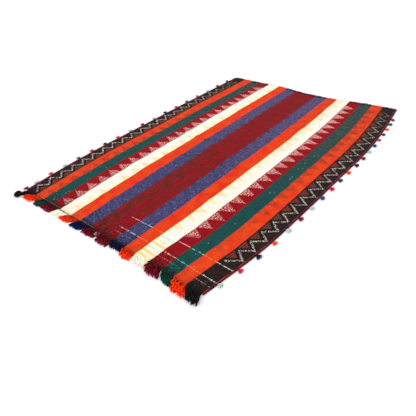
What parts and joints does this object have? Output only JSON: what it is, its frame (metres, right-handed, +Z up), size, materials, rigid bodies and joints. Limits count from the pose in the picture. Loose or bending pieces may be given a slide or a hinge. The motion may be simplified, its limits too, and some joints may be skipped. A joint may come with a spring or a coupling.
{
  "type": "jajim rug",
  "caption": "Flat striped wool rug of two sewn warp-faced panels, with a corded selvedge hung with small tassels and a short cut fringe at both ends.",
  "frame": {"origin": "the floor under the middle of the rug as it lies, at the middle of its bounding box", "axes": "+X across the stripes towards the right-hand selvedge, +Y along the warp towards the far end, +Z up from the floor"},
  "size_m": [1.4528, 2.0289, 0.0125],
  "materials": {
    "panel_wool": "matt warp-faced wool weave in stripes of dark red, indigo, orange, cream, green and black-brown",
    "cord_wool": "matt burgundy double wool cord",
    "fringe_wool": "matt cut wool warp ends in the colours of the stripes",
    "tassel_crimson": "matt crimson wool yarn",
    "tassel_mint": "matt mint wool yarn",
    "tassel_pink": "matt pink wool yarn",
    "tassel_navy": "matt navy wool yarn",
    "tassel_orange": "matt orange wool yarn",
    "tassel_blue": "matt blue wool yarn",
    "tassel_green": "matt green wool yarn",
    "tassel_black": "matt black wool yarn"
  },
  "bodies": {
    "root": {"panel_left": "panel_wool", "panel_right": "panel_wool", "selvedge_cord_left": "cord_wool", "selvedge_cord_right": "cord_wool", "fringe_near_left": "fringe_wool", "fringe_near_right": "fringe_wool", "fringe_far_left": "fringe_wool", "fringe_far_right": "fringe_wool", "tassel_right_01": "tassel_mint", "tassel_right_02": "tassel_pink", "tassel_right_03": "tassel_navy", "tassel_right_04": "tassel_orange", "tassel_right_05": "tassel_mint", "tassel_right_06": "tassel_crimson", "tassel_right_07": "tassel_mint", "tassel_right_08": "tassel_blue", "tassel_right_09": "tassel_pink", "tassel_right_10": "tassel_green", "tassel_right_11": "tassel_orange", "tassel_right_12": "tassel_black", "tassel_right_13": "tassel_crimson", "tassel_right_14": "tassel_mint", "tassel_right_15": "tassel_blue", "tassel_right_16": "tassel_pink", "tassel_right_17": "tassel_green", "tassel_right_18": "tassel_orange", "tassel_right_19": "tassel_green", "tassel_right_20": "tassel_crimson", "tassel_left_01": "tassel_crimson", "tassel_left_02": "tassel_mint", "tassel_left_03": "tassel_pink", "tassel_left_04": "tassel_mint", "tassel_left_05": "tassel_blue", "tassel_left_06": "tassel_pink", "tassel_left_07": "tassel_navy", "tassel_left_08": "tassel_orange", "tassel_left_09": "tassel_mint", "tassel_left_10": "tassel_crimson", "tassel_left_11": "tassel_mint", "tassel_left_12": "tassel_blue", "tassel_left_13": "tassel_pink", "tassel_left_14": "tassel_green", "tassel_left_15": "tassel_orange", "tassel_left_16": "tassel_mint", "tassel_left_17": "tassel_crimson", "tassel_left_18": "tassel_blue", "seam_tuft": "tassel_navy"}
  },
  "joints": []
}
